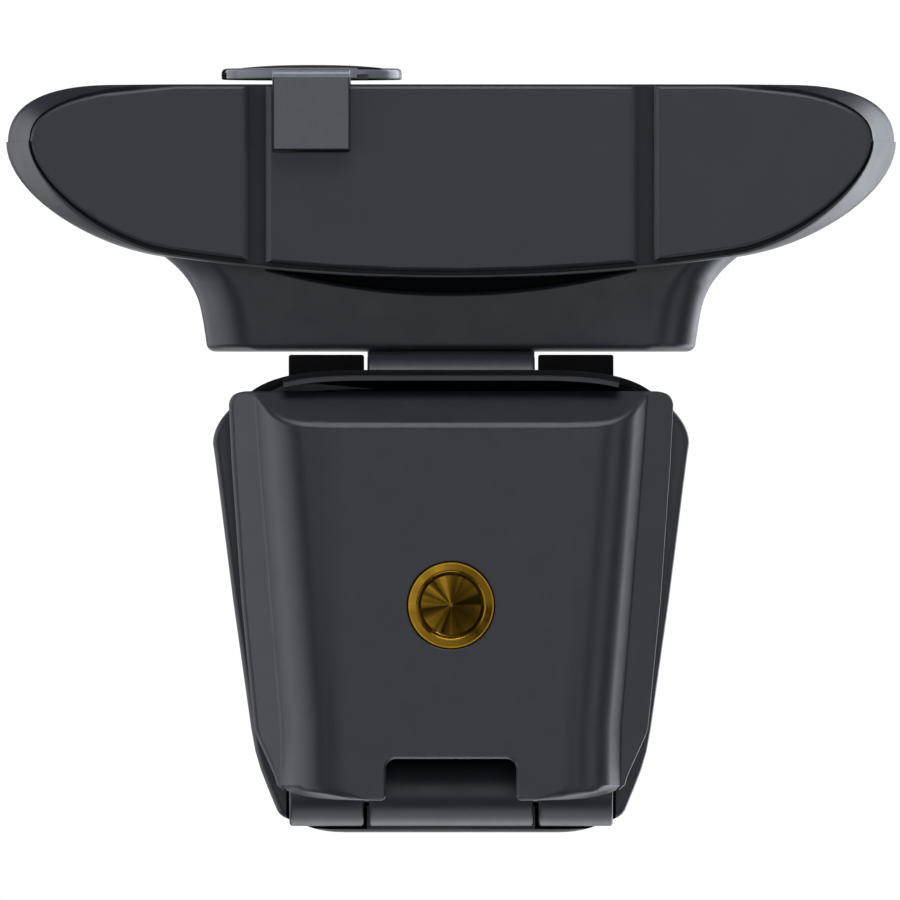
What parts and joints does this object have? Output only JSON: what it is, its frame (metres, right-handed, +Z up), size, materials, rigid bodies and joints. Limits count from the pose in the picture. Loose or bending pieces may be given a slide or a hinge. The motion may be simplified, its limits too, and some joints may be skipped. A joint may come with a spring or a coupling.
{
  "type": "webcam with monitor clip",
  "caption": "Wide clip-on webcam: winged camera head on a friction neck, sliding lens shutter, and a folding monitor clip with a tripod socket in its foot.",
  "frame": {"origin": "middle of the object's box, in the plane of the folded clip's outer foot face", "axes": "+Z up, away from the foot's outer face; the lens looks along -Y; +X across the head"},
  "size_m": [0.0842, 0.0724, 0.0472],
  "materials": {
    "shell_black": "fine spark-eroded satin",
    "gloss_black": "polished",
    "shutter_grey": "satin",
    "lens_glass": "coated",
    "board": "solder mask",
    "chip": "matt epoxy",
    "clear_plastic": "moulded",
    "steel": "plated",
    "rubber_black": "fine matt grain",
    "inner_grey": "satin",
    "brass": "turned"
  },
  "bodies": {
    "leg": {"leg_shell": "shell_black", "leg_cover": "inner_grey", "leg_pad": "rubber_black", "tripod_insert": "brass", "clip_pin": "steel", "leg_screw_front_left": "steel", "leg_screw_front_right": "steel", "leg_screw_rear_left": "steel", "leg_screw_rear_right": "steel"},
    "clip_base": {"base_shell": "shell_black", "base_plate": "inner_grey", "base_pad": "rubber_black", "neck_pin": "steel", "base_screw_front_left": "steel", "base_screw_front_right": "steel", "base_screw_rear_left": "steel", "base_screw_rear_right": "steel"},
    "head": {"rear_shell": "shell_black", "front_bezel": "shell_black", "front_panel": "gloss_black", "underside_panel_left": "shell_black", "underside_panel_center": "shell_black", "underside_panel_right": "shell_black", "lens_trim_ring": "shell_black", "lens_cover_glass": "lens_glass", "lens_barrel": "shell_black", "lens_front_element": "lens_glass", "lens_rear_element": "lens_glass", "lens_holder": "chip", "ir_filter": "lens_glass", "image_sensor": "chip", "main_board": "board", "board_screw_lower_left": "steel", "board_screw_lower_right": "steel", "board_screw_upper_left": "steel", "board_screw_upper_right": "steel", "video_processor": "chip", "cable_header": "clear_plastic", "status_led": "clear_plastic", "light_pipe": "clear_plastic", "microphone_left": "steel", "microphone_right": "steel", "microphone_gasket_left": "rubber_black", "microphone_gasket_right": "rubber_black", "cable_gland": "rubber_black", "tilt_bracket": "shell_black", "bracket_plate": "steel", "bracket_screw_left": "steel", "bracket_screw_right": "steel"},
    "shutter": {"shutter_clip": "shutter_grey", "shutter_cap": "gloss_black"}
  },
  "joints": [
    {"name": "clip_open", "type": "hinge", "parent": "leg", "child": "clip_base", "pos_m": [0, 0.0323, 0.0088], "axis": [-1, 0, 0], "range_deg": [0, 95]},
    {"name": "head_tilt", "type": "hinge", "parent": "clip_base", "child": "head", "pos_m": [0, -0.0054, 0.0185], "axis": [-1, 0, 0], "range_deg": [-20, 30]},
    {"name": "shutter_slide", "type": "slide", "parent": "head", "child": "shutter", "axis": [1, 0, 0], "range_m": [0, 0.0132]}
  ]
}
